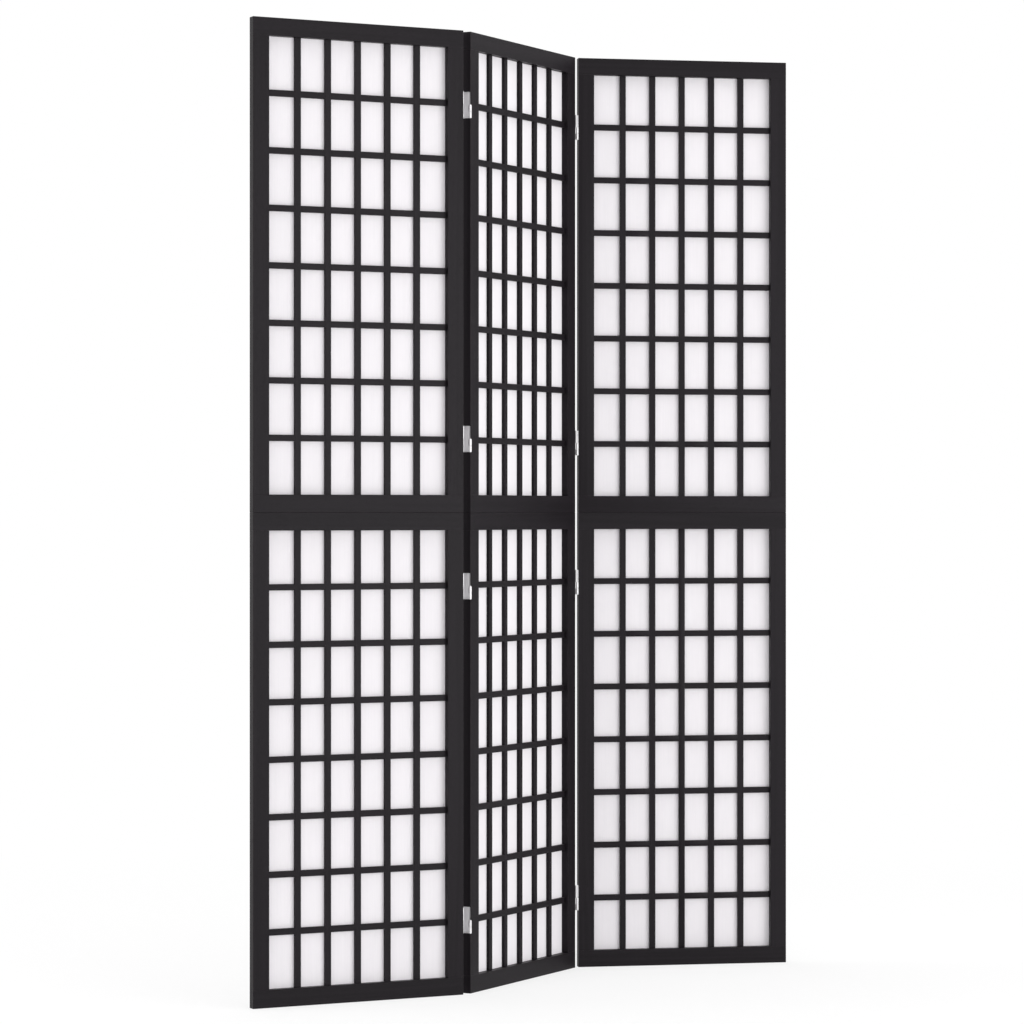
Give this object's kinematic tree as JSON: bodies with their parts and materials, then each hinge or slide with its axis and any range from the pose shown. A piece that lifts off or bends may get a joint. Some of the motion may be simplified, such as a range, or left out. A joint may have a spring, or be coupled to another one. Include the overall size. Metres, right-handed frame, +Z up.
{
  "type": "folding screen",
  "caption": "Free-standing folding screen in a zigzag: dark timber lattice panels backed with white paper, tied edge to edge by two-way hinges.",
  "frame": {"origin": "on the floor, under the centre of the middle panel's foot", "axes": "+X along the middle panel from its left end to its right end, +Y from its front, where the lattice shows, to its back, +Z up"},
  "size_m": [1.017, 0.5591, 1.7],
  "materials": {
    "stained_wood": "black stain, satin, fine open grain",
    "bare_wood": "sawn, bare",
    "paper": "white non-woven sheet, matt, with faint fibres",
    "hinge_steel": "satin nickel",
    "zinc_steel": "bright zinc"
  },
  "bodies": {
    "left_panel": {"left_lower_left_stile": "stained_wood", "left_lower_right_stile": "stained_wood", "left_lower_top_rail": "stained_wood", "left_lower_bottom_rail": "stained_wood", "left_lower_uprights": "stained_wood", "left_lower_crossbars": "stained_wood", "left_lower_paper": "paper", "left_upper_left_stile": "stained_wood", "left_upper_right_stile": "stained_wood", "left_upper_top_rail": "stained_wood", "left_upper_bottom_rail": "stained_wood", "left_upper_uprights": "stained_wood", "left_upper_crossbars": "stained_wood", "left_upper_paper": "paper", "left_tongues": "bare_wood", "left_joint_screws": "zinc_steel", "left_hinge_outer_leaves": "hinge_steel"},
    "middle_panel": {"middle_lower_left_stile": "stained_wood", "middle_lower_right_stile": "stained_wood", "middle_lower_top_rail": "stained_wood", "middle_lower_bottom_rail": "stained_wood", "middle_lower_uprights": "stained_wood", "middle_lower_crossbars": "stained_wood", "middle_lower_paper": "paper", "middle_upper_left_stile": "stained_wood", "middle_upper_right_stile": "stained_wood", "middle_upper_top_rail": "stained_wood", "middle_upper_bottom_rail": "stained_wood", "middle_upper_uprights": "stained_wood", "middle_upper_crossbars": "stained_wood", "middle_upper_paper": "paper", "middle_tongues": "bare_wood", "middle_joint_screws": "zinc_steel", "left_hinge_inner_leaves": "hinge_steel", "right_hinge_inner_leaves": "hinge_steel"},
    "right_panel": {"right_lower_left_stile": "stained_wood", "right_lower_right_stile": "stained_wood", "right_lower_top_rail": "stained_wood", "right_lower_bottom_rail": "stained_wood", "right_lower_uprights": "stained_wood", "right_lower_crossbars": "stained_wood", "right_lower_paper": "paper", "right_upper_left_stile": "stained_wood", "right_upper_right_stile": "stained_wood", "right_upper_top_rail": "stained_wood", "right_upper_bottom_rail": "stained_wood", "right_upper_uprights": "stained_wood", "right_upper_crossbars": "stained_wood", "right_upper_paper": "paper", "right_tongues": "bare_wood", "right_joint_screws": "zinc_steel", "right_hinge_outer_leaves": "hinge_steel"},
    "left_links": {"left_hinge_links": "hinge_steel", "left_hinge_pins": "hinge_steel"},
    "right_links": {"right_hinge_links": "hinge_steel", "right_hinge_pins": "hinge_steel"}
  },
  "joints": [
    {"name": "left_front_pin", "type": "hinge", "parent": "middle_panel", "child": "left_links", "pos_m": [-0.2024, -0.0088, 0], "axis": [0, 0, 1], "range_deg": [0, 90]},
    {"name": "left_back_pin", "type": "hinge", "parent": "left_links", "child": "left_panel", "pos_m": [-0.2062, 0.0088, 0], "axis": [0, 0, -1], "range_deg": [-34.8, 145.2]},
    {"name": "right_back_pin", "type": "hinge", "parent": "middle_panel", "child": "right_links", "pos_m": [0.2024, 0.0088, 0], "axis": [0, 0, 1], "range_deg": [0, 90]},
    {"name": "right_front_pin", "type": "hinge", "parent": "right_links", "child": "right_panel", "pos_m": [0.2062, -0.0088, 0], "axis": [0, 0, -1], "range_deg": [-51.2, 128.8]}
  ]
}
